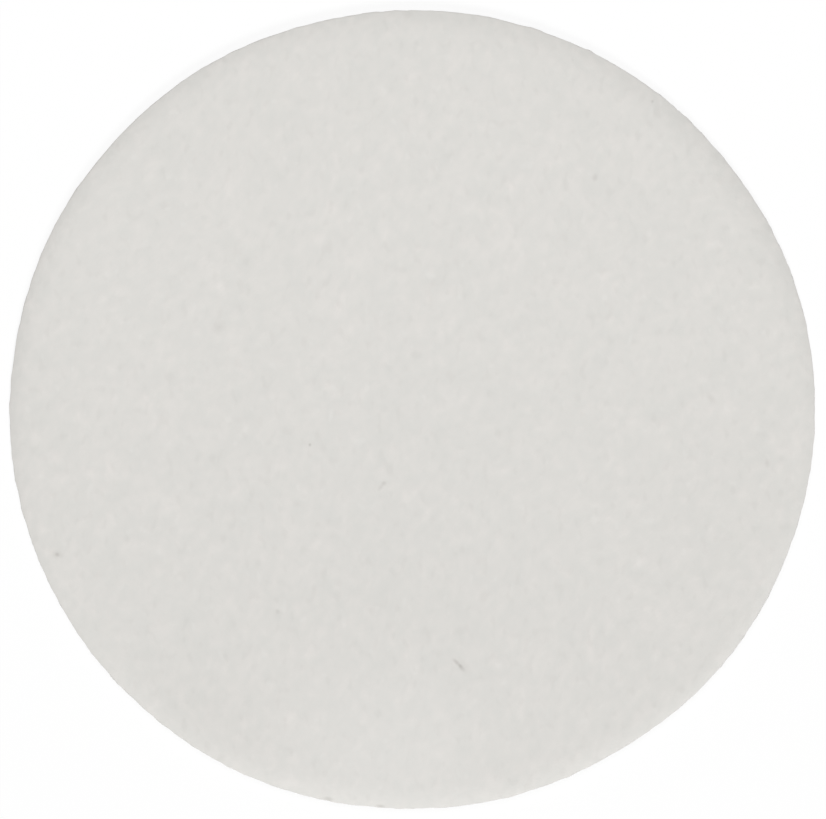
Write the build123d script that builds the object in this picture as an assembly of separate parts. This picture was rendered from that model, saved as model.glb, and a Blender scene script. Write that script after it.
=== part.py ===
from build123d import *
import os
from math import radians, sin

# Filter paper disc: one round piece punched out of a thick, soft sheet of laboratory filter paper.
# Millimetres, +Z up. The origin is the centre of the underside, which lies on Z = 0.

# Driving dimensions
disc_diameter = 47.0
sheet_thickness = 0.9
# The punch presses the upper face down before it cuts, so the face rolls off towards the rim.
shoulder_width = 1.3
shoulder_slope = 25.0  # degrees, where the roll-off meets the cut edge
lip_radius = 0.08  # the cut edge's upper corner
foot_radius = 0.06  # its lower corner, which stays crisper against the cutting board

# Worked out from the driving dimensions
disc_radius = disc_diameter / 2
lip_reach = lip_radius * (1 - sin(radians(shoulder_slope)))
shoulder_radius = (shoulder_width - lip_reach) / sin(radians(shoulder_slope))


def half_section() -> Sketch:
    """Half of the disc's section: flat upper face, rolled shoulder, cut wall and flat underside."""
    with BuildSketch(Plane.XZ) as section:
        with BuildLine():
            upper_face = Line((0, sheet_thickness), (disc_radius - shoulder_width, sheet_thickness))
            shoulder = JernArc(upper_face @ 1, upper_face % 1, shoulder_radius, -shoulder_slope)
            lip = JernArc(shoulder @ 1, shoulder % 1, lip_radius, shoulder_slope - 90)
            wall = Line(lip @ 1, (disc_radius, foot_radius))
            foot = JernArc(wall @ 1, wall % 1, foot_radius, -90)
            underside = Line(foot @ 1, (0, 0))
            Line(underside @ 1, upper_face @ 0)
        make_face()
    return section.sketch


def filter_paper_disc() -> Part:
    """The whole disc: its half section turned once about the centre line."""
    disc = revolve(half_section(), Axis.Z)
    disc.label = "filter_paper_disc"
    return disc


os.makedirs("parts", exist_ok=True)
export_step(filter_paper_disc(), "parts/filter_paper_disc.step")
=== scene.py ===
"""Dresses the filter paper disc: one soft sheet with fibre relief, a rolled rim and a few specks.

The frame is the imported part's: +Z is up, the origin is the centre of the underside and +Y runs along the
paper's grain. Shapes, lamps and the camera are in metres. The marks and patterns on the paper are in
millimetres.
"""
import logging
import math
from dataclasses import dataclass
from enum import Enum
from functools import cached_property
from typing import Any

import bpy
import numpy as np
from mathutils import Matrix, Vector


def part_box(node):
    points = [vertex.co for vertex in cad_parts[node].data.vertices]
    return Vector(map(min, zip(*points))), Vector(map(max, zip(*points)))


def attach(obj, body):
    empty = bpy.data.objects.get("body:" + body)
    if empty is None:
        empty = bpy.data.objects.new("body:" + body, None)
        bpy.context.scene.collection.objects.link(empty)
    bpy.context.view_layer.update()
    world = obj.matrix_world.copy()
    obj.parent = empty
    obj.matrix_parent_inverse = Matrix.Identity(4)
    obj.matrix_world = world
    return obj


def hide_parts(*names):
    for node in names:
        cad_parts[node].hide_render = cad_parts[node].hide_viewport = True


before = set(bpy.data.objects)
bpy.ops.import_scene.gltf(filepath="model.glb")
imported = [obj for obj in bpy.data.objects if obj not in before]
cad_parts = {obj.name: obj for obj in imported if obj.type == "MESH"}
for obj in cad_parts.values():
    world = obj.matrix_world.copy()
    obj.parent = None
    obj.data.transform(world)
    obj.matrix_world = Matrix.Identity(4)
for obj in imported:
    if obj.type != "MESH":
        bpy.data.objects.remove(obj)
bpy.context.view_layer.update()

LOG = logging.getLogger("filter_paper_disc")
MM = 0.001
FULL_TURN = 2 * math.pi
NODE = "filter_paper_disc"
# Sizes read from the frame are rounded to 0.01 mm, so that its facets never change the fibres.
SIZE_DIGITS = 5
# The mesh's own values, which the paper's finish reads.
FORMATION = "formation"
CUT_EDGE = "cut_edge"
# The map that lays the sheet out on a picture of its finish.
PICTURE_MAP = "OFBake"
# A mix node's sockets for colours: its two ends and its result.
MIX_FROM, MIX_TO, MIX_RESULT = 6, 7, 2


def linear(hex_colour: str) -> tuple[float, float, float, float]:
    """Turns an sRGB hex colour into the linear colour that a shader reads.

    Args:
        hex_colour: six hex digits after a hash sign.

    Returns:
        Red, green, blue and an alpha of 1.
    """
    coded = [int(hex_colour[i : i + 2], 16) / 255 for i in (1, 3, 5)]
    red, green, blue = (c / 12.92 if c <= 0.04045 else ((c + 0.055) / 1.055) ** 2.4 for c in coded)
    return red, green, blue, 1.0


def add_node(
    tree: bpy.types.NodeTree,
    kind: str,
    settings: dict[str, Any] | None = None,
    values: dict[int | str, Any] | None = None,
    links: dict[int | str, bpy.types.NodeSocket] | None = None,
) -> bpy.types.Node:
    """Adds one shader node with its settings and links.

    Args:
        tree: the material's or the world's node tree.
        kind: the node's type.
        settings: the node's own properties, by name.
        values: the inputs that are constant, by name or number.
        links: the output that feeds an input, by the input's name or number.

    Returns:
        The node.
    """
    node = tree.nodes.new(kind)
    for name, value in (settings or {}).items():
        setattr(node, name, value)
    for name, value in (values or {}).items():
        node.inputs[name].default_value = value
    for name, output in (links or {}).items():
        tree.links.new(output, node.inputs[name])
    return node


def summed(tree: bpy.types.NodeTree, parts: list[bpy.types.NodeSocket]) -> bpy.types.NodeSocket:
    """Adds up several outputs, one after the other.

    Args:
        tree: the nodes that the outputs belong to.
        parts: the outputs.

    Returns:
        Their sum.
    """
    total, *others = parts
    for part in others:
        total = add_node(tree, "ShaderNodeMath", {"operation": "ADD"}, links={0: total, 1: part}).outputs[0]
    return total


def new_tree(owner: bpy.types.Material | bpy.types.World) -> bpy.types.NodeTree:
    """Gives a material or a world an empty node tree.

    Args:
        owner: what the nodes belong to.

    Returns:
        The empty tree.
    """
    owner.use_nodes = True
    owner.node_tree.nodes.clear()
    return owner.node_tree


@dataclass(frozen=True)
class FibreNetwork:
    """Fibres that settled at random, as they do when pulp drains on a papermaker's wire.

    The sheet's sides wrap round, so that it can go once round a rim. Sizes are in metres and angles in
    radians.
    """

    width: float
    height: float
    cell: float
    fibre_length: float
    fibres_per_area: float
    fibres_per_floc: int
    floc_spread: float
    press_blur: float
    grain_angle: float
    lean: float
    curl: float
    seed: int

    @cached_property
    def pressed(self) -> np.ndarray:
        """Lays the fibres, counts them over each cell and blurs the counts as the press felt does.

        A fibre's points are its middle plus its length times s along its direction, for s from -1/2 to 1/2.
        The direction turns evenly with s by the fibre's own curl. Middles gather round those of flocs.

        Returns:
            The counts, shifted and scaled to a mean of 0 and a spread of 1, in rows along the width.
        """
        rng = np.random.default_rng(self.seed)
        rows, columns = round(self.height / self.cell), round(self.width / self.cell)
        flocs = round(self.fibres_per_area * self.width * self.height / self.fibres_per_floc)
        fibres = (flocs, self.fibres_per_floc, 1)
        floc_x = rng.uniform(0, self.width, (flocs, 1, 1))
        floc_y = rng.uniform(0, self.height, (flocs, 1, 1))
        along = np.linspace(-0.5, 0.5, math.ceil(self.fibre_length / self.cell))
        turn = self.grain_angle + rng.normal(0, self.lean, fibres)
        turn = turn + rng.normal(0, self.curl, fibres) * along
        x = floc_x + rng.normal(0, self.floc_spread, fibres) + self.fibre_length * along * np.cos(turn)
        y = floc_y + rng.normal(0, self.floc_spread, fibres) + self.fibre_length * along * np.sin(turn)
        column = np.floor(x / self.cell).astype(int) % columns
        row = np.floor(y / self.cell).astype(int) % rows
        counts = np.bincount((row * columns + column).ravel(), minlength=rows * columns)
        across = np.fft.rfftfreq(columns, self.cell)
        up = np.fft.fftfreq(rows, self.cell)[:, None]
        blur = np.exp(-2 * (math.pi * self.press_blur) ** 2 * (across**2 + up**2))
        blurred = np.fft.irfft2(np.fft.rfft2(counts.reshape(rows, columns)) * blur, s=(rows, columns))
        return (blurred - blurred.mean()) / blurred.std()

    def sampled(self, x: np.ndarray, y: np.ndarray) -> np.ndarray:
        """Reads the pressed sheet at any places, as the mean of the four cells about them by nearness.

        Args:
            x: places along the width.
            y: places along the height.

        Returns:
            The values, in the shape of the places.
        """
        rows, columns = self.pressed.shape
        column, row = x / self.cell, y / self.cell
        left, low = np.floor(column).astype(int), np.floor(row).astype(int)
        to_right, to_top = column - left, row - low
        near = [self.pressed[(low + i) % rows, (left + j) % columns] for i in (0, 1) for j in (0, 1)]
        lower = near[0] * (1 - to_right) + near[1] * to_right
        upper = near[2] * (1 - to_right) + near[3] * to_right
        return lower * (1 - to_top) + upper * to_top


class Tone(Enum):
    """The two colours of the marks: dark bark, which also paints shade, and pale bleached fibre, which also
    paints light.
    """

    BARK_AND_SHADE = "#928D86"
    BLEACHED_AND_LIGHT = "#F4F3F0"


@dataclass(frozen=True)
class Fleck:
    """One place of another tone in the upper face: a soft oval, in millimetres and degrees on the disc."""

    tone: Tone
    x: float
    y: float
    length: float
    width: float
    turn: float
    strength: float


# Single fibre bits: slivers and specks of bark and stray bundles of whiter fibre, and on the front rim two
# dark marks of painted shade.
FLECKS = (
    Fleck(Tone.BARK_AND_SHADE, 2.60, -15.00, 0.66, 0.26, -45, 0.31),
    Fleck(Tone.BARK_AND_SHADE, 2.84, -15.22, 0.34, 0.24, -45, 0.24),
    Fleck(Tone.BARK_AND_SHADE, 2.93, -15.36, 0.56, 0.28, -45, 0.19),
    Fleck(Tone.BARK_AND_SHADE, 3.02, -15.30, 1.30, 0.76, -48, 0.09),
    Fleck(Tone.BARK_AND_SHADE, -20.62, -8.65, 0.32, 0.28, -20, 0.24),
    Fleck(Tone.BARK_AND_SHADE, -20.66, -8.63, 0.88, 0.60, -5, 0.15),
    Fleck(Tone.BARK_AND_SHADE, 10.72, 13.46, 0.56, 0.40, 75, 0.18),
    Fleck(Tone.BARK_AND_SHADE, 14.10, 18.01, 0.26, 0.22, 80, 0.30),
    Fleck(Tone.BARK_AND_SHADE, -5.92, -2.27, 0.24, 0.21, 90, 0.34),
    Fleck(Tone.BARK_AND_SHADE, -1.60, -4.53, 0.36, 0.30, 0, 0.22),
    Fleck(Tone.BARK_AND_SHADE, -1.79, -4.77, 0.60, 0.28, 54, 0.15),
    Fleck(Tone.BARK_AND_SHADE, -11.28, 4.64, 1.00, 0.76, 30, 0.11),
    Fleck(Tone.BARK_AND_SHADE, -7.78, -12.02, 0.36, 0.28, 70, 0.14),
    Fleck(Tone.BARK_AND_SHADE, -7.74, -12.04, 0.76, 0.64, 70, 0.06),
    Fleck(Tone.BARK_AND_SHADE, 20.69, -3.37, 0.62, 0.36, 90, 0.15),
    Fleck(Tone.BARK_AND_SHADE, 17.45, 0.41, 0.86, 0.46, -50, 0.13),
    # Painted shade on the front rim: dark marks that stand for small nicks in the edge, which the sheet
    # does not have.
    Fleck(Tone.BARK_AND_SHADE, -4.84, -22.93, 0.74, 0.36, -10, 0.58),
    Fleck(Tone.BARK_AND_SHADE, -1.80, -23.34, 0.68, 0.26, -5, 0.62),
    Fleck(Tone.BLEACHED_AND_LIGHT, 14.04, 17.38, 1.10, 0.36, 85, 0.14),
    Fleck(Tone.BLEACHED_AND_LIGHT, -4.69, -0.54, 0.95, 0.30, 80, 0.18),
    Fleck(Tone.BLEACHED_AND_LIGHT, 12.73, 3.89, 0.90, 0.26, 75, 0.16),
    Fleck(Tone.BLEACHED_AND_LIGHT, -11.20, 7.15, 0.70, 0.32, 70, 0.14),
    Fleck(Tone.BLEACHED_AND_LIGHT, -0.42, -11.50, 0.70, 0.30, 85, 0.12),
    Fleck(Tone.BLEACHED_AND_LIGHT, -8.87, -10.00, 0.80, 0.28, 95, 0.12),
)

# Broad places painted a shade lighter or darker, as painted light and shade for gentle waves that the
# sheet's
# shape lacks: lighter towards the front rim and on the left, darker over the lower half and on the right.
PATCHES = (
    Fleck(Tone.BLEACHED_AND_LIGHT, -1.6, -20.8, 15.0, 12.0, 30, 0.13),
    Fleck(Tone.BLEACHED_AND_LIGHT, -18.0, 8.0, 16.0, 18.0, 0, 0.035),
    Fleck(Tone.BARK_AND_SHADE, 19.0, -8.5, 15.0, 20.0, 0, 0.022),
    Fleck(Tone.BARK_AND_SHADE, -3.0, -11.0, 24.0, 12.0, 0, 0.010),
    Fleck(Tone.BARK_AND_SHADE, -12.0, -17.8, 10.0, 8.0, -35, 0.025),
    Fleck(Tone.BARK_AND_SHADE, 12.5, -15.5, 11.0, 10.0, 0, 0.016),
)


@dataclass(frozen=True)
class Scatter:
    """Small marks strewn all over: the peaks of a noise stretched along the grain, in millimetres."""

    tone: Tone
    width: float
    length: float
    starts_at: float
    full_at: float
    strength: float
    offset: float


# The dark marks are painted shade in the pores between the fibres; the pale ones are lighter dots.
SCATTERS = (
    Scatter(Tone.BARK_AND_SHADE, 0.42, 0.68, 0.58, 0.88, 0.058, 0.0),
    Scatter(Tone.BLEACHED_AND_LIGHT, 0.44, 0.65, 0.70, 0.90, 0.11, 7.3),
)


@dataclass(frozen=True)
class CelluloseFilterPaper:
    """Cellulose filter paper, wet-laid from bleached pulp, pressed lightly in felt and left uncoated.

    The eye sees a dead matt off-white with no gloss at any angle, clouded a little: lighter where the
    fibres lie thicker and the face rises, which is partly the pulp's own tone and partly painted light on
    the raised places and painted shade in the low ones. Single fibres show as faint streaks along the
    grain. The cut edge shows the fibres' layers.
    Sizes are in millimetres.
    """

    face_height: float
    thin_and_shaded_colour: str = "#CFD1CD"
    thick_and_lit_colour: str = "#ECE7E3"
    roughness: float = 0.92
    cellulose_ior: float = 1.53
    specular: float = 0.2
    sheen: float = 0.05
    cloud_share: float = 0.043
    streak_share: float = 0.13
    streak_width: float = 0.18
    streak_length: float = 0.75
    streak_turns: tuple[float, ...] = (-44.0, -2.0, 40.0)
    fuzz_size: float = 0.14
    fuzz_height: float = 0.006
    layer_height: float = 0.07
    layer_length: float = 1.1
    layer_share: float = 0.35
    fleck_depth: float = 0.6
    fleck_border: float = 1.3

    def made(self) -> bpy.types.Material:
        """Builds the material, with its patterns on Object coordinates.

        Returns:
            The material.
        """
        material = bpy.data.materials.new("cellulose_filter_paper_wet_laid")
        tree = new_tree(material)
        place = add_node(tree, "ShaderNodeTexCoord").outputs["Object"]
        in_mm = add_node(
            tree, "ShaderNodeVectorMath", {"operation": "SCALE"}, {"Scale": 1 / MM}, {0: place}
        ).outputs["Vector"]
        streaks = self.streaks(tree, in_mm)
        colour = add_node(
            tree,
            "ShaderNodeMix",
            {"data_type": "RGBA"},
            {MIX_FROM: linear(self.thin_and_shaded_colour), MIX_TO: linear(self.thick_and_lit_colour)},
            {0: self.thickness_and_shading_tone(tree, in_mm, streaks)},
        ).outputs[MIX_RESULT]
        for tone in Tone:
            colour = self.flecked(tree, in_mm, colour, tone)
        fuzz = self.stretched_noise(tree, in_mm, (self.fuzz_size,) * 3, detail=2.0)
        bump = add_node(
            tree,
            "ShaderNodeBump",
            values={"Strength": 1.0, "Distance": self.fuzz_height * MM},
            links={"Height": summed(tree, [fuzz, streaks])},
        ).outputs["Normal"]
        surface = add_node(
            tree,
            "ShaderNodeBsdfPrincipled",
            values={
                "Roughness": self.roughness,
                "IOR": self.cellulose_ior,
                "Specular IOR Level": self.specular,
                "Sheen Weight": self.sheen,
            },
            links={"Base Color": colour, "Normal": bump},
        ).outputs["BSDF"]
        add_node(tree, "ShaderNodeOutputMaterial", links={"Surface": surface})
        return material

    def stretched_noise(
        self,
        tree: bpy.types.NodeTree,
        in_mm: bpy.types.NodeSocket,
        size: tuple[float, float, float],
        detail: float = 0.0,
        turn: float = 0.0,
        offset: float = 0.0,
    ) -> bpy.types.NodeSocket:
        """Draws soft blots that have a real size along each axis.

        Args:
            tree: the material's nodes.
            in_mm: the place on the object.
            size: the blots' size along x, y and z.
            detail: how many finer layers of blots are added.
            turn: the pattern's turn about +Z, in degrees.
            offset: the pattern's shift along each axis, so that two patterns differ.

        Returns:
            The noise, about one half.
        """
        stretched = add_node(
            tree,
            "ShaderNodeMapping",
            {"vector_type": "TEXTURE"},
            {"Location": (offset,) * 3, "Rotation": (0.0, 0.0, math.radians(turn)), "Scale": size},
            {"Vector": in_mm},
        ).outputs["Vector"]
        return add_node(
            tree, "ShaderNodeTexNoise", values={"Scale": 1.0, "Detail": detail}, links={"Vector": stretched}
        ).outputs["Fac"]

    def streaks(self, tree: bpy.types.NodeTree, in_mm: bpy.types.NodeSocket) -> bpy.types.NodeSocket:
        """Draws single fibres as noise stretched along a few directions near the grain.

        Real fibres are about 0.03 mm wide, finer than the render shows, and are drawn six times as wide.

        Args:
            tree: the material's nodes.
            in_mm: the place on the object.

        Returns:
            The mean of the stretched noises, about one half.
        """
        size = (self.streak_width, self.streak_length, self.streak_width)
        noises = [
            self.stretched_noise(tree, in_mm, size, detail=1.0, turn=turn) for turn in self.streak_turns
        ]
        return add_node(
            tree, "ShaderNodeMath", {"operation": "DIVIDE"}, {1: len(noises)}, {0: summed(tree, noises)}
        ).outputs[0]

    def thickness_and_shading_tone(
        self, tree: bpy.types.NodeTree, in_mm: bpy.types.NodeSocket, streaks: bpy.types.NodeSocket
    ) -> bpy.types.NodeSocket:
        """Adds up the paper's clouds, its streaks and the cut edge's layers, round one half.

        The layers are noise, long in the sheet and thin through it, and show on the cut edge alone.

        Args:
            tree: the material's nodes.
            in_mm: the place on the object.
            streaks: the fibres' noise.

        Returns:
            How far the colour lies from the thin places' colour to the thick places'.
        """
        # The clouds follow the same field as the face's relief, so the colour is painted lighter where the
        # face rises and darker where it sinks: painted light and shade over the pulp's own tone.
        cloud = add_node(tree, "ShaderNodeAttribute", {"attribute_name": FORMATION}).outputs["Fac"]
        edge = add_node(tree, "ShaderNodeAttribute", {"attribute_name": CUT_EDGE}).outputs["Fac"]
        layer_size = (self.layer_length, self.layer_length, self.layer_height)
        layers = self.stretched_noise(tree, in_mm, layer_size, detail=3.0)
        clouded, streaked, layered = (
            add_node(
                tree, "ShaderNodeMath", {"operation": "MULTIPLY_ADD"}, {1: share, 2: middle}, {0: pattern}
            ).outputs[0]
            for pattern, share, middle in (
                (cloud, self.cloud_share, 0.5),
                (streaks, self.streak_share, -self.streak_share / 2),
                (layers, self.layer_share, -self.layer_share / 2),
            )
        )
        on_edge = add_node(
            tree, "ShaderNodeMath", {"operation": "MULTIPLY"}, links={0: layered, 1: edge}
        ).outputs[0]
        return summed(tree, [clouded, streaked, on_edge])

    def flecked(
        self,
        tree: bpy.types.NodeTree,
        in_mm: bpy.types.NodeSocket,
        colour: bpy.types.NodeSocket,
        tone: Tone,
    ) -> bpy.types.NodeSocket:
        """Lays every mark of one tone over the paper's colour.

        Args:
            tree: the material's nodes.
            in_mm: the place on the object.
            colour: the paper's colour so far.
            tone: which marks to lay.

        Returns:
            The colour with the marks.
        """
        strewn = [self.strewn(tree, in_mm, scatter) for scatter in SCATTERS if scatter.tone is tone]
        ovals = [self.oval(tree, in_mm, fleck) for fleck in FLECKS + PATCHES if fleck.tone is tone]
        return add_node(
            tree,
            "ShaderNodeMix",
            {"data_type": "RGBA"},
            {MIX_TO: linear(tone.value)},
            {0: summed(tree, strewn + ovals), MIX_FROM: colour},
        ).outputs[MIX_RESULT]

    def strewn(
        self, tree: bpy.types.NodeTree, in_mm: bpy.types.NodeSocket, scatter: Scatter
    ) -> bpy.types.NodeSocket:
        """Draws strewn marks where a noise rises above its start.

        Args:
            tree: the material's nodes.
            in_mm: the place on the object.
            scatter: the marks.

        Returns:
            The marks' strength.
        """
        size = (scatter.width, scatter.length, scatter.width)
        noise = self.stretched_noise(tree, in_mm, size, offset=scatter.offset)
        return add_node(
            tree,
            "ShaderNodeMapRange",
            {"interpolation_type": "SMOOTHSTEP"},
            {"From Min": scatter.starts_at, "From Max": scatter.full_at, "To Max": scatter.strength},
            {"Value": noise},
        ).outputs["Result"]

    def oval(
        self, tree: bpy.types.NodeTree, in_mm: bpy.types.NodeSocket, fleck: Fleck
    ) -> bpy.types.NodeSocket:
        """Draws one oval body that lies in the upper face and fades from its middle to a soft border.

        Args:
            tree: the material's nodes.
            in_mm: the place on the object.
            fleck: the oval.

        Returns:
            The oval's strength.
        """
        own = add_node(
            tree,
            "ShaderNodeMapping",
            {"vector_type": "TEXTURE"},
            {
                "Location": (fleck.x, fleck.y, self.face_height),
                "Rotation": (0.0, 0.0, math.radians(fleck.turn)),
                "Scale": (fleck.length / 2, fleck.width / 2, self.fleck_depth),
            },
            {"Vector": in_mm},
        ).outputs["Vector"]
        out = add_node(
            tree, "ShaderNodeVectorMath", {"operation": "LENGTH"}, links={0: own}
        ).outputs["Value"]
        return add_node(
            tree,
            "ShaderNodeMapRange",
            {"interpolation_type": "SMOOTHSTEP"},
            {"From Min": 0.0, "From Max": self.fleck_border, "To Min": fleck.strength, "To Max": 0.0},
            {"Value": out},
        ).outputs["Result"]


def lobe(angle: np.ndarray) -> np.ndarray:
    """Falls as the cosine from 1 at an angle of 0 to 0 at a quarter turn, and stays there."""
    return np.clip(np.cos(angle), 0, None)


@dataclass(frozen=True)
class RolledRim:
    """The punched rim's section: a rolled shoulder, a rounded lip, a cut wall and a crisp foot.

    The punch pressed the paper unevenly before it cut, so the shoulder is gentler, wider or narrower on
    some sides.
    """

    radius: float
    thickness: float
    crown: float = 0.2 * MM
    shoulder_width: float = 1.5 * MM
    wide_share: float = 0.5
    wide_side: float = math.radians(55.0)
    narrow_share: float = 0.5
    narrow_side: float = math.radians(-38.0)
    shoulder_slope: float = math.radians(25.0)
    gentle_slope: float = math.radians(10.5)
    gentle_side: float = math.radians(95.0)
    lip_radius: float = 0.06 * MM
    foot_radius: float = 0.06 * MM
    undercut: float = 0.02 * MM
    lip_rows: int = 3
    wall_rows: int = 5
    foot_rows: int = 2

    def slope(self, angle: np.ndarray) -> np.ndarray:
        """The slope at the lip, which eases to the gentle one with the 1.5th power of that side's lobe."""
        gentle = lobe(angle - self.gentle_side) ** 1.5
        return self.shoulder_slope + (self.gentle_slope - self.shoulder_slope) * gentle

    def width(self, angle: np.ndarray) -> np.ndarray:
        """The shoulder's width: more by the wide lobe's square, less by the narrow lobe's eighth power."""
        wider = self.wide_share * lobe(angle - self.wide_side) ** 2
        return self.shoulder_width * (1 + wider - self.narrow_share * lobe(angle - self.narrow_side) ** 8)

    def face_radius(self, angle: np.ndarray) -> np.ndarray:
        """Where the shoulder ends and the lip begins, from the centre."""
        return self.radius - self.lip_radius * (1 - np.sin(self.slope(angle)))

    def drop(self, out: np.ndarray, angle: np.ndarray) -> np.ndarray:
        """How far the upper face has rolled down.

        The whole face is crowned, and falls with the fifth power of the distance. Over the shoulder the
        slope also grows with the square of the way in, so the drop grows with the cube.

        Args:
            out: distance from the centre.
            angle: angle round the disc.

        Returns:
            The drop, 0 at the centre.
        """
        width = self.width(angle)
        way_in = np.clip(1 + (out - self.face_radius(angle)) / width, 0, None)
        return self.crown * (out / self.radius) ** 5 + np.tan(self.slope(angle)) * width / 3 * way_in**3

    def section(self, angle: np.ndarray) -> tuple[np.ndarray, np.ndarray]:
        """The rim below the shoulder, row by row from the lip's start to just above the underside.

        The lip and the foot are arcs between the shoulder's slope, the upright wall and the underside.

        Args:
            angle: angles round the disc.

        Returns:
            Distance from the centre and height: a row for each step down, a column for each angle.
        """
        slope = self.slope(angle)
        lip_start = self.thickness - self.drop(self.face_radius(angle), angle)
        lip_height = lip_start - self.lip_radius * np.cos(slope)
        down_lip = np.linspace(0, 1, self.lip_rows + 1)[1:, None]
        lip = slope + (math.pi / 2 - slope) * down_lip
        wall = np.linspace(0, 1, self.wall_rows + 1)[1:, None]
        foot = np.linspace(0, math.pi / 2, self.foot_rows + 1)[1:-1, None]
        once_round = np.ones_like(angle)
        out = [
            self.radius - self.lip_radius * (1 - np.sin(lip)),
            (self.radius - self.undercut * wall) * once_round,
            (self.radius - self.undercut - self.foot_radius * (1 - np.cos(foot))) * once_round,
        ]
        height = [
            lip_height + self.lip_radius * np.cos(lip),
            lip_height + (self.foot_radius - lip_height) * wall,
            self.foot_radius * (1 - np.sin(foot)) * once_round,
        ]
        return np.concatenate(out), np.concatenate(height)


def rings(cells: int) -> tuple[np.ndarray, np.ndarray]:
    """Bends a square grid into rings round its middle.

    A point (a, b) of the square from -1 to 1 goes to the ring whose radius is the larger of |a| and |b|,
    and along a side of the square the angle grows evenly through a quarter turn.

    Args:
        cells: cells along the square's side.

    Returns:
        Each grid point's ring radius, from 0 to 1, and its angle.
    """
    side = np.linspace(-1.0, 1.0, cells + 1)
    a, b = np.meshgrid(side, side)
    flat = np.abs(a) >= np.abs(b)
    far, near = np.where(flat, a, b), np.where(flat, b, a)
    lean = math.pi / 4 * np.divide(near, far, out=np.zeros_like(far), where=far != 0)
    return np.abs(far), np.where(flat, lean, math.pi / 2 - lean) + np.where(far < 0, math.pi, 0.0)


def border(grid: np.ndarray) -> np.ndarray:
    """A grid's border values, once round, counter-clockwise from the first corner."""
    return np.concatenate([grid[0, :-1], grid[:-1, -1], grid[-1, :0:-1], grid[:0:-1, 0]])


def grid_faces(index: np.ndarray) -> np.ndarray:
    """The quads of a grid of point numbers, counter-clockwise as the grid is seen."""
    quads = [index[:-1, :-1], index[:-1, 1:], index[1:, 1:], index[1:, :-1]]
    return np.stack(quads, -1).reshape(-1, 4)


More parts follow.
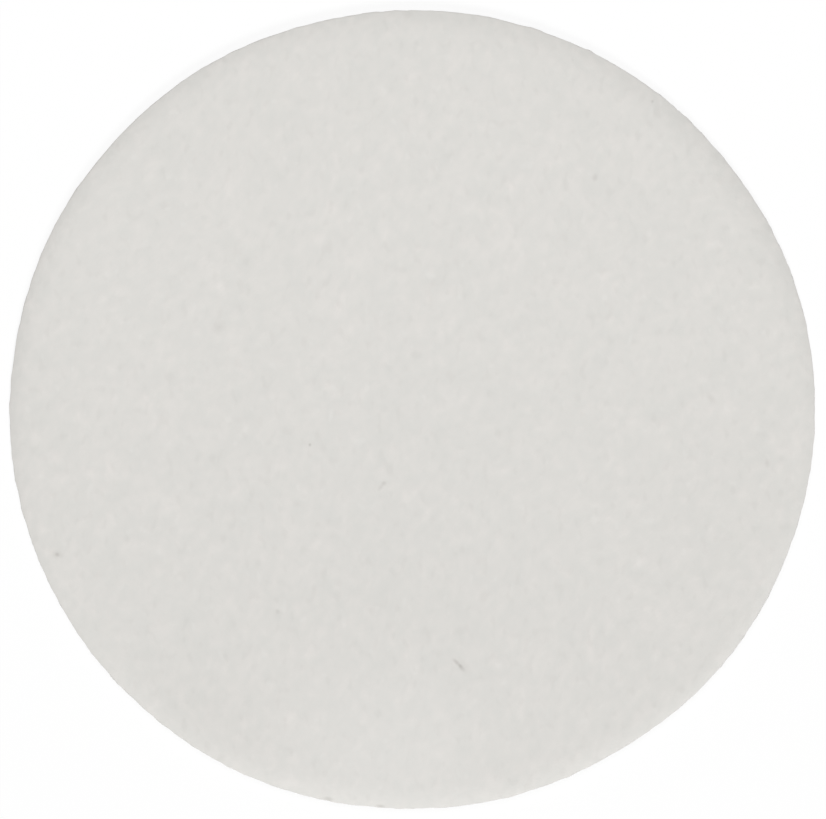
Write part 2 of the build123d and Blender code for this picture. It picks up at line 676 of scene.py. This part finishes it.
@dataclass
class FilterPaperDisc:
    """The whole disc as one closed sheet, whose upper face, rim and underside share border points."""

    radius: float
    thickness: float
    upper_cells: int = 260
    under_cells: int = 130
    rim_crowding: float = 0.7
    fibre_relief: float = 0.005 * MM
    wall_relief: float = 0.02 * MM
    wire_pitch: float = 1.3 * MM
    wire_relief: float = 0.006 * MM
    arch: float = 0.1 * MM
    # On the picture of the finish, in shares of its side: the two radii and the room round them.
    upper_share: float = 0.4
    under_share: float = 0.175
    margin_share: float = 0.004
    # Waves round the rim, each with its number, size and start.
    out_of_round: tuple[tuple[int, float, float], ...] = (
        (3, 0.030 * MM, 5.9),
        (4, 0.015 * MM, 4.2),
        (6, 0.017 * MM, 1.5),
        (7, 0.010 * MM, 2.2),
        (8, 0.010 * MM, 1.9),
        (9, 0.011 * MM, 0.5),
        (11, 0.016 * MM, 4.2),
    )

    def build(self) -> bpy.types.Object:
        """Works out the sheet's points and faces and puts them into one mesh.

        Returns:
            The sheet's object, at the origin.
        """
        rim = RolledRim(self.radius, self.thickness)
        fibres = self.face_network()
        upper, upper_cloud, rim_angle = self.upper_face(rim, fibres)
        edge, edge_cloud = self.cut_edge(rim, rim_angle)
        under, under_cloud = self.underside(rim, fibres)
        points = np.concatenate([grid.reshape(-1, 3) for grid in (upper, edge, under)])
        clouds = (upper_cloud, edge_cloud, under_cloud)

        numbers = np.split(np.arange(len(points)), np.cumsum([cloud.size for cloud in clouds])[:-1])
        upper_index, edge_index, under_index = (n.reshape(cloud.shape) for n, cloud in zip(numbers, clouds))
        faces = [
            *grid_faces(upper_index).tolist(),
            *self.rim_faces(border(upper_index), edge_index, border(under_index)),
            *grid_faces(under_index)[:, ::-1].tolist(),
        ]
        mesh = bpy.data.meshes.new("filter_paper_sheet")
        mesh.from_pydata(self.settled(points), [], faces)
        mesh.shade_smooth()
        self.lay_out(mesh, points, edge_index, border(under_index))

        on_edge = np.zeros(len(points))
        on_edge[edge_index] = 1.0
        formation = np.concatenate([cloud.ravel() for cloud in clouds])
        for name, values in ((FORMATION, formation), (CUT_EDGE, on_edge)):
            mesh.attributes.new(name, "FLOAT", "POINT").data.foreach_set("value", values.astype(np.float32))
        sheet = bpy.data.objects.new("filter_paper_sheet", mesh)
        bpy.context.scene.collection.objects.link(sheet)
        return sheet

    def face_network(self) -> FibreNetwork:
        """The fibres that show in the faces of the sheet, mostly along the grain."""
        return FibreNetwork(
            width=2 * self.radius,
            height=2 * self.radius,
            cell=0.05 * MM,
            fibre_length=0.6 * MM,
            fibres_per_area=30 / MM**2,
            fibres_per_floc=2,
            floc_spread=0.4 * MM,
            press_blur=0.1 * MM,
            grain_angle=math.pi / 2,
            lean=math.radians(40.0),
            curl=math.radians(25.0),
            seed=7,
        )

    def edge_network(self) -> FibreNetwork:
        """The fibres that show in the cut edge, laid level, once round the disc."""
        return FibreNetwork(
            width=FULL_TURN * self.radius,
            height=self.thickness,
            cell=0.03 * MM,
            fibre_length=0.7 * MM,
            fibres_per_area=120 / MM**2,
            fibres_per_floc=4,
            floc_spread=0.1 * MM,
            press_blur=0.05 * MM,
            grain_angle=0.0,
            lean=math.radians(14.0),
            curl=math.radians(20.0),
            seed=19,
        )

    def upper_face(self, rim: RolledRim, fibres: FibreNetwork) -> tuple[np.ndarray, np.ndarray, np.ndarray]:
        """The felt side: rings that follow the rolled shoulder, with the fibres raised a little.

        The rings lie closer together towards the rim: their distance is the even distance plus a share of
        the difference between its sixth and its seventh power.

        Args:
            rim: the rim's section.
            fibres: the fibres that show.

        Returns:
            The grid of points, the fibres' field at each, and the border's angles.
        """
        ring, angle = rings(self.upper_cells)
        out = (ring + self.rim_crowding * (ring**6 - ring**7)) * rim.face_radius(angle)
        x, y = out * np.cos(angle), out * np.sin(angle)
        cloud = fibres.sampled(x + self.radius, y + self.radius)
        height = self.thickness - rim.drop(out, angle) + self.fibre_relief * cloud
        return np.stack([x, y, height], -1), cloud, border(angle)

    def cut_edge(self, rim: RolledRim, angle: np.ndarray) -> tuple[np.ndarray, np.ndarray]:
        """Carries the rim's section round the disc and roughens its cut wall, most at half its height.

        The rim moves out by its relief times half a sine wave down the rows times the field less 1.

        Args:
            rim: the rim's section.
            angle: the angles round the disc.

        Returns:
            The points, row by row down the rim, and the edge fibres' field at each.
        """
        out, height = rim.section(angle)
        round_rim = np.broadcast_to(angle % FULL_TURN * self.radius, out.shape)
        cloud = self.edge_network().sampled(round_rim, height)
        cut = np.sin(np.linspace(0, math.pi, len(out) + 2))[1:-1, None]
        out = out + self.wall_relief * cut * (cloud - 1)
        return np.stack([out * np.cos(angle), out * np.sin(angle), height], -1), cloud

    def underside(self, rim: RolledRim, fibres: FibreNetwork) -> tuple[np.ndarray, np.ndarray]:
        """The wire side: even rings, with the wire's weave as the product of two slanted waves.

        A real wire is finer than the rings' points, so the weave is drawn about twice as coarse.

        Args:
            rim: the rim's section.
            fibres: the fibres that show, read with x and y changed over so that the two sides differ.

        Returns:
            The grid of points and the fibres' field at each.
        """
        ring, angle = rings(self.under_cells)
        out = ring * (self.radius - rim.undercut - rim.foot_radius)
        x, y = out * np.cos(angle), out * np.sin(angle)
        wave = FULL_TURN / self.wire_pitch
        weave = (1 + np.sin(wave * (x + y / 2)) * np.sin(wave * (y - x / 2))) / 2
        cloud = fibres.sampled(y + self.radius, x + self.radius)
        return np.stack([x, y, self.wire_relief * weave], -1), cloud

    def rim_faces(
        self, upper_border: np.ndarray, edge_index: np.ndarray, under_border: np.ndarray
    ) -> list[list[int]]:
        """Joins the upper face's border, the rim's rows and the underside's border.

        The underside's border has half as many points as the rim's rows.

        Args:
            upper_border: numbers of the upper face's border points.
            edge_index: numbers of the rim's points, row by row.
            under_border: numbers of the underside's border points.

        Returns:
            Quads down the rim and a last row of five-sided faces.
        """
        rows = np.vstack([upper_border, edge_index])
        following = np.roll(rows, -1, axis=1)
        quads = np.stack([rows[:-1], rows[1:], following[1:], following[:-1]], -1).reshape(-1, 4)
        last, step = rows[-1], 2
        fives = [
            last[::step],
            under_border,
            np.roll(under_border, -1),
            np.roll(last, -step)[::step],
            last[1::step],
        ]
        return [*quads.tolist(), *np.stack(fives, -1).tolist()]

    def lay_out(
        self, mesh: bpy.types.Mesh, points: np.ndarray, edge_index: np.ndarray, under_border: np.ndarray
    ) -> None:
        """Lays the sheet out on one square picture of its finish, most of it for the side that shows.

        The upper face lies in one corner, as seen from above. The rim's rows are rings round it, in even
        steps from the radius to the radius plus the thickness. The underside lies in the opposite corner,
        as seen from below.

        Args:
            mesh: the sheet's mesh, with the underside's quads last.
            points: the flat sheet's points.
            edge_index: numbers of the rim's points, row by row.
            under_border: numbers of the underside's border points, which end the rim.
        """
        x, y, _ = points.T
        out, angle = np.hypot(x, y), np.arctan2(y, x)
        reach = self.radius + self.thickness
        out[edge_index] = np.linspace(self.radius, reach, len(edge_index) + 2)[1:-1, None]
        out[under_border] = reach
        unrolled = out / reach * np.stack([np.cos(angle), np.sin(angle)])
        from_above = self.margin_share + self.upper_share * (1 + unrolled.T)
        from_below = 1 - self.margin_share - self.under_share * (1 + np.stack([x, -y], -1) / self.radius)
        corner_points = np.empty(len(mesh.loops), np.int32)
        mesh.loops.foreach_get("vertex_index", corner_points)
        under_corners = 4 * self.under_cells**2
        places = from_above[corner_points]
        places[-under_corners:] = from_below[corner_points[-under_corners:]]
        mesh.uv_layers.new(name=PICTURE_MAP).uv.foreach_set("vector", places.astype(np.float32).ravel())

    def settled(self, points: np.ndarray) -> np.ndarray:
        """Lets the flat sheet come to rest on its rim: a little arched and a little out of round.

        The arch falls with the fifth power of the distance from the centre, and the out-of-round is a few
        waves round the rim that fade with the cube of that distance. The lowest point ends on Z = 0.

        Args:
            points: the flat sheet's points.

        Returns:
            The points at rest.
        """
        x, y, z = points.T
        out, angle = np.hypot(x, y) / self.radius, np.arctan2(y, x)
        swell = sum(
            size / self.radius * np.cos(waves * angle - start) for waves, size, start in self.out_of_round
        )
        stretch = 1 + out**3 * swell
        z = z + self.arch * (1 - out**5)
        return np.stack([x * stretch, y * stretch, z - z.min()], -1)

    def dress(self, sheet: bpy.types.Object) -> None:
        """Gives the sheet its finish and says what it is: it rides on the part and stands for its solid.

        Args:
            sheet: the sheet's object.
        """
        sheet.data.materials.append(CelluloseFilterPaper(face_height=self.thickness / MM).made())
        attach(sheet, "root")
        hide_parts(NODE)


def towards(azimuth: float, elevation: float) -> Vector:
    """The direction from the disc to a place: azimuth 0 is in front, at -Y, and 90 is at +X, in degrees."""
    turn, rise = math.radians(azimuth), math.radians(elevation)
    return Vector((math.sin(turn) * math.cos(rise), -math.cos(turn) * math.cos(rise), math.sin(rise)))


@dataclass(frozen=True)
class Softbox:
    """A square soft lamp aimed at the disc, by its place and its share of the light on a level surface.

    Angles are in degrees.
    """

    name: str
    share: float
    azimuth: float
    elevation: float
    distance: float
    side: float

    def build(self) -> bpy.types.Object:
        """Makes the lamp, with the power that its share of the light needs.

        A small lamp of power P at distance d gives P sin(elevation) / (pi d squared) on a level surface,
        and pi there shows a colour as written.

        Returns:
            The lamp's object.
        """
        lamp = bpy.data.lights.new(self.name, "AREA")
        lamp.size = self.side
        lamp.energy = self.share * (math.pi * self.distance) ** 2 / math.sin(math.radians(self.elevation))
        away = towards(self.azimuth, self.elevation)
        box = bpy.data.objects.new(self.name, lamp)
        box.location = away * self.distance
        box.rotation_euler = away.to_track_quat("Z", "Y").to_euler()
        box.visible_camera = False
        bpy.context.scene.collection.objects.link(box)
        return box


def shown_directly(tree: bpy.types.NodeTree) -> bpy.types.NodeSocket:
    """Tells rays that show the background, straight or in gloss and glass, from rays that only light.

    Args:
        tree: the nodes of the floor or the world.

    Returns:
        1 for a ray that shows it, otherwise 0.
    """
    path = add_node(tree, "ShaderNodeLightPath").outputs
    mirrored = add_node(
        tree,
        "ShaderNodeMath",
        {"operation": "MAXIMUM"},
        links={0: path["Is Glossy Ray"], 1: path["Is Transmission Ray"]},
    ).outputs[0]
    return add_node(
        tree, "ShaderNodeMath", {"operation": "MAXIMUM"}, links={0: path["Is Camera Ray"], 1: mirrored}
    ).outputs[0]


@dataclass(frozen=True)
class MattWhiteCard:
    """Smooth white card with a matt coat.

    The eye sees plain white with a share of the disc's shadow near it. What the card throws back is a shade
    less white. Distances are from the disc's centre.
    """

    shown_colour: str = "#FFFFFF"
    lit_colour: str = "#F6F6F6"
    shadow_share: float = 0.12
    shadow_fades: float = 0.04
    shadow_ends: float = 0.12

    def made(self) -> bpy.types.Material:
        """Builds the material: lit card under an even white that grows with the distance.

        Returns:
            The material.
        """
        material = bpy.data.materials.new("matt_white_card")
        tree = new_tree(material)
        direct = shown_directly(tree)
        colour = add_node(
            tree,
            "ShaderNodeMix",
            {"data_type": "RGBA"},
            {MIX_FROM: linear(self.lit_colour), MIX_TO: linear(self.shown_colour)},
            {0: direct},
        ).outputs[MIX_RESULT]
        card = add_node(tree, "ShaderNodeBsdfDiffuse", links={"Color": colour}).outputs[0]
        white = add_node(tree, "ShaderNodeEmission", values={"Strength": 1.0}).outputs[0]
        place = add_node(tree, "ShaderNodeTexCoord").outputs["Object"]
        out = add_node(
            tree, "ShaderNodeVectorMath", {"operation": "LENGTH"}, links={0: place}
        ).outputs["Value"]
        white_share = add_node(
            tree,
            "ShaderNodeMapRange",
            {"interpolation_type": "SMOOTHSTEP"},
            {"From Min": self.shadow_fades, "From Max": self.shadow_ends, "To Min": 1 - self.shadow_share},
            {"Value": out},
        ).outputs["Result"]
        shown = add_node(
            tree, "ShaderNodeMath", {"operation": "MULTIPLY"}, links={0: direct, 1: white_share}
        ).outputs[0]
        surface = add_node(tree, "ShaderNodeMixShader", links={0: shown, 1: card, 2: white}).outputs[0]
        add_node(tree, "ShaderNodeOutputMaterial", links={"Surface": surface})
        return material


@dataclass(frozen=True)
class Studio:
    """A plain white sweep with soft light: a lamp overhead, a lower one in front and an even fill."""

    floor_side: float = 2.4
    card: MattWhiteCard = MattWhiteCard()
    room_colour: str = "#FFFFFF"
    fill: float = 0.25
    lamps: tuple[Softbox, ...] = (
        Softbox("overhead_softbox", 0.37, 180.0, 70.0, 0.22, 0.12),
        Softbox("front_softbox", 0.409, 7.0, 40.0, 2.0, 0.6),
    )

    def build(self) -> None:
        """Makes the floor, the fill and the lamps."""
        half = self.floor_side / 2
        mesh = bpy.data.meshes.new("studio_floor")
        corners = [(-half, -half, 0), (half, -half, 0), (half, half, 0), (-half, half, 0)]
        mesh.from_pydata(corners, [], [(0, 1, 2, 3)])
        mesh.materials.append(self.card.made())
        floor = bpy.data.objects.new("studio_floor", mesh)
        bpy.context.scene.collection.objects.link(floor)
        self.light_world()
        for lamp in self.lamps:
            lamp.build()
            LOG.info("lamp %s", lamp.name)

    def light_world(self) -> None:
        """Fills the room with even light, which shows as white behind the floor."""
        world = bpy.data.worlds.new("studio_room")
        tree = new_tree(world)
        strength = add_node(
            tree,
            "ShaderNodeMapRange",
            values={"To Min": self.fill, "To Max": 1.0},
            links={"Value": shown_directly(tree)},
        ).outputs["Result"]
        room = add_node(
            tree,
            "ShaderNodeBackground",
            values={"Color": linear(self.room_colour)},
            links={"Strength": strength},
        ).outputs[0]
        add_node(tree, "ShaderNodeOutputWorld", links={"Surface": room})
        bpy.context.scene.world = world


@dataclass(frozen=True)
class PhotoCamera:
    """The photograph's view: almost straight down, a little from the front and right, with a long lens.

    Pixels are those of the photograph's frame, with y down. Angles are in degrees.
    """

    frame_width_px: float = 826.0
    frame_height_px: float = 819.0
    disc_across_px: float = 806.0
    disc_centre_px: tuple[float, float] = (411.7, 407.2)
    azimuth: float = 6.5
    elevation: float = 82.3
    distance: float = 0.5
    sensor_width_mm: float = 36.0

    def build(self, target: Vector, disc_across: float) -> bpy.types.Object:
        """Places the camera so that the disc has its size and place in the frame, with +Y up.

        Args:
            target: the disc's middle.
            disc_across: the disc's diameter.

        Returns:
            The camera's object.
        """
        pixel = disc_across / self.disc_across_px
        lens = bpy.data.cameras.new("photo_camera")
        lens.sensor_width = self.sensor_width_mm
        lens.lens = self.sensor_width_mm * self.distance / (self.frame_width_px * pixel)
        back = towards(self.azimuth, self.elevation)
        right = Vector((0, 1, 0)).cross(back).normalized()
        up = back.cross(right)
        aim_right = (self.frame_width_px / 2 - self.disc_centre_px[0]) * pixel
        aim_down = (self.frame_height_px / 2 - self.disc_centre_px[1]) * pixel
        stand = target + right * aim_right - up * aim_down + back * self.distance
        camera = bpy.data.objects.new("photo_camera", lens)
        camera.matrix_world = Matrix.Translation(stand) @ Matrix((right, up, back)).transposed().to_4x4()
        bpy.context.scene.collection.objects.link(camera)
        bpy.context.scene.camera = camera
        return camera


def main() -> None:
    """Builds the disc, the studio and the camera in order, and reports each piece."""
    logging.basicConfig(level=logging.INFO, format="%(name)s: %(message)s")
    bpy.context.scene.view_settings.view_transform = "Standard"
    low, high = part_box(NODE)
    disc = FilterPaperDisc(
        radius=round((high.x - low.x) / 2, SIZE_DIGITS), thickness=round(high.z - low.z, SIZE_DIGITS)
    )
    sheet = disc.build()
    disc.dress(sheet)
    LOG.info("%s: %d points, %d faces", sheet.name, len(sheet.data.vertices), len(sheet.data.polygons))
    Studio().build()
    camera = PhotoCamera().build((low + high) / 2, 2 * disc.radius)
    LOG.info("%s: %.0f mm lens", camera.name, camera.data.lens)


if __name__ == "__main__":
    main()
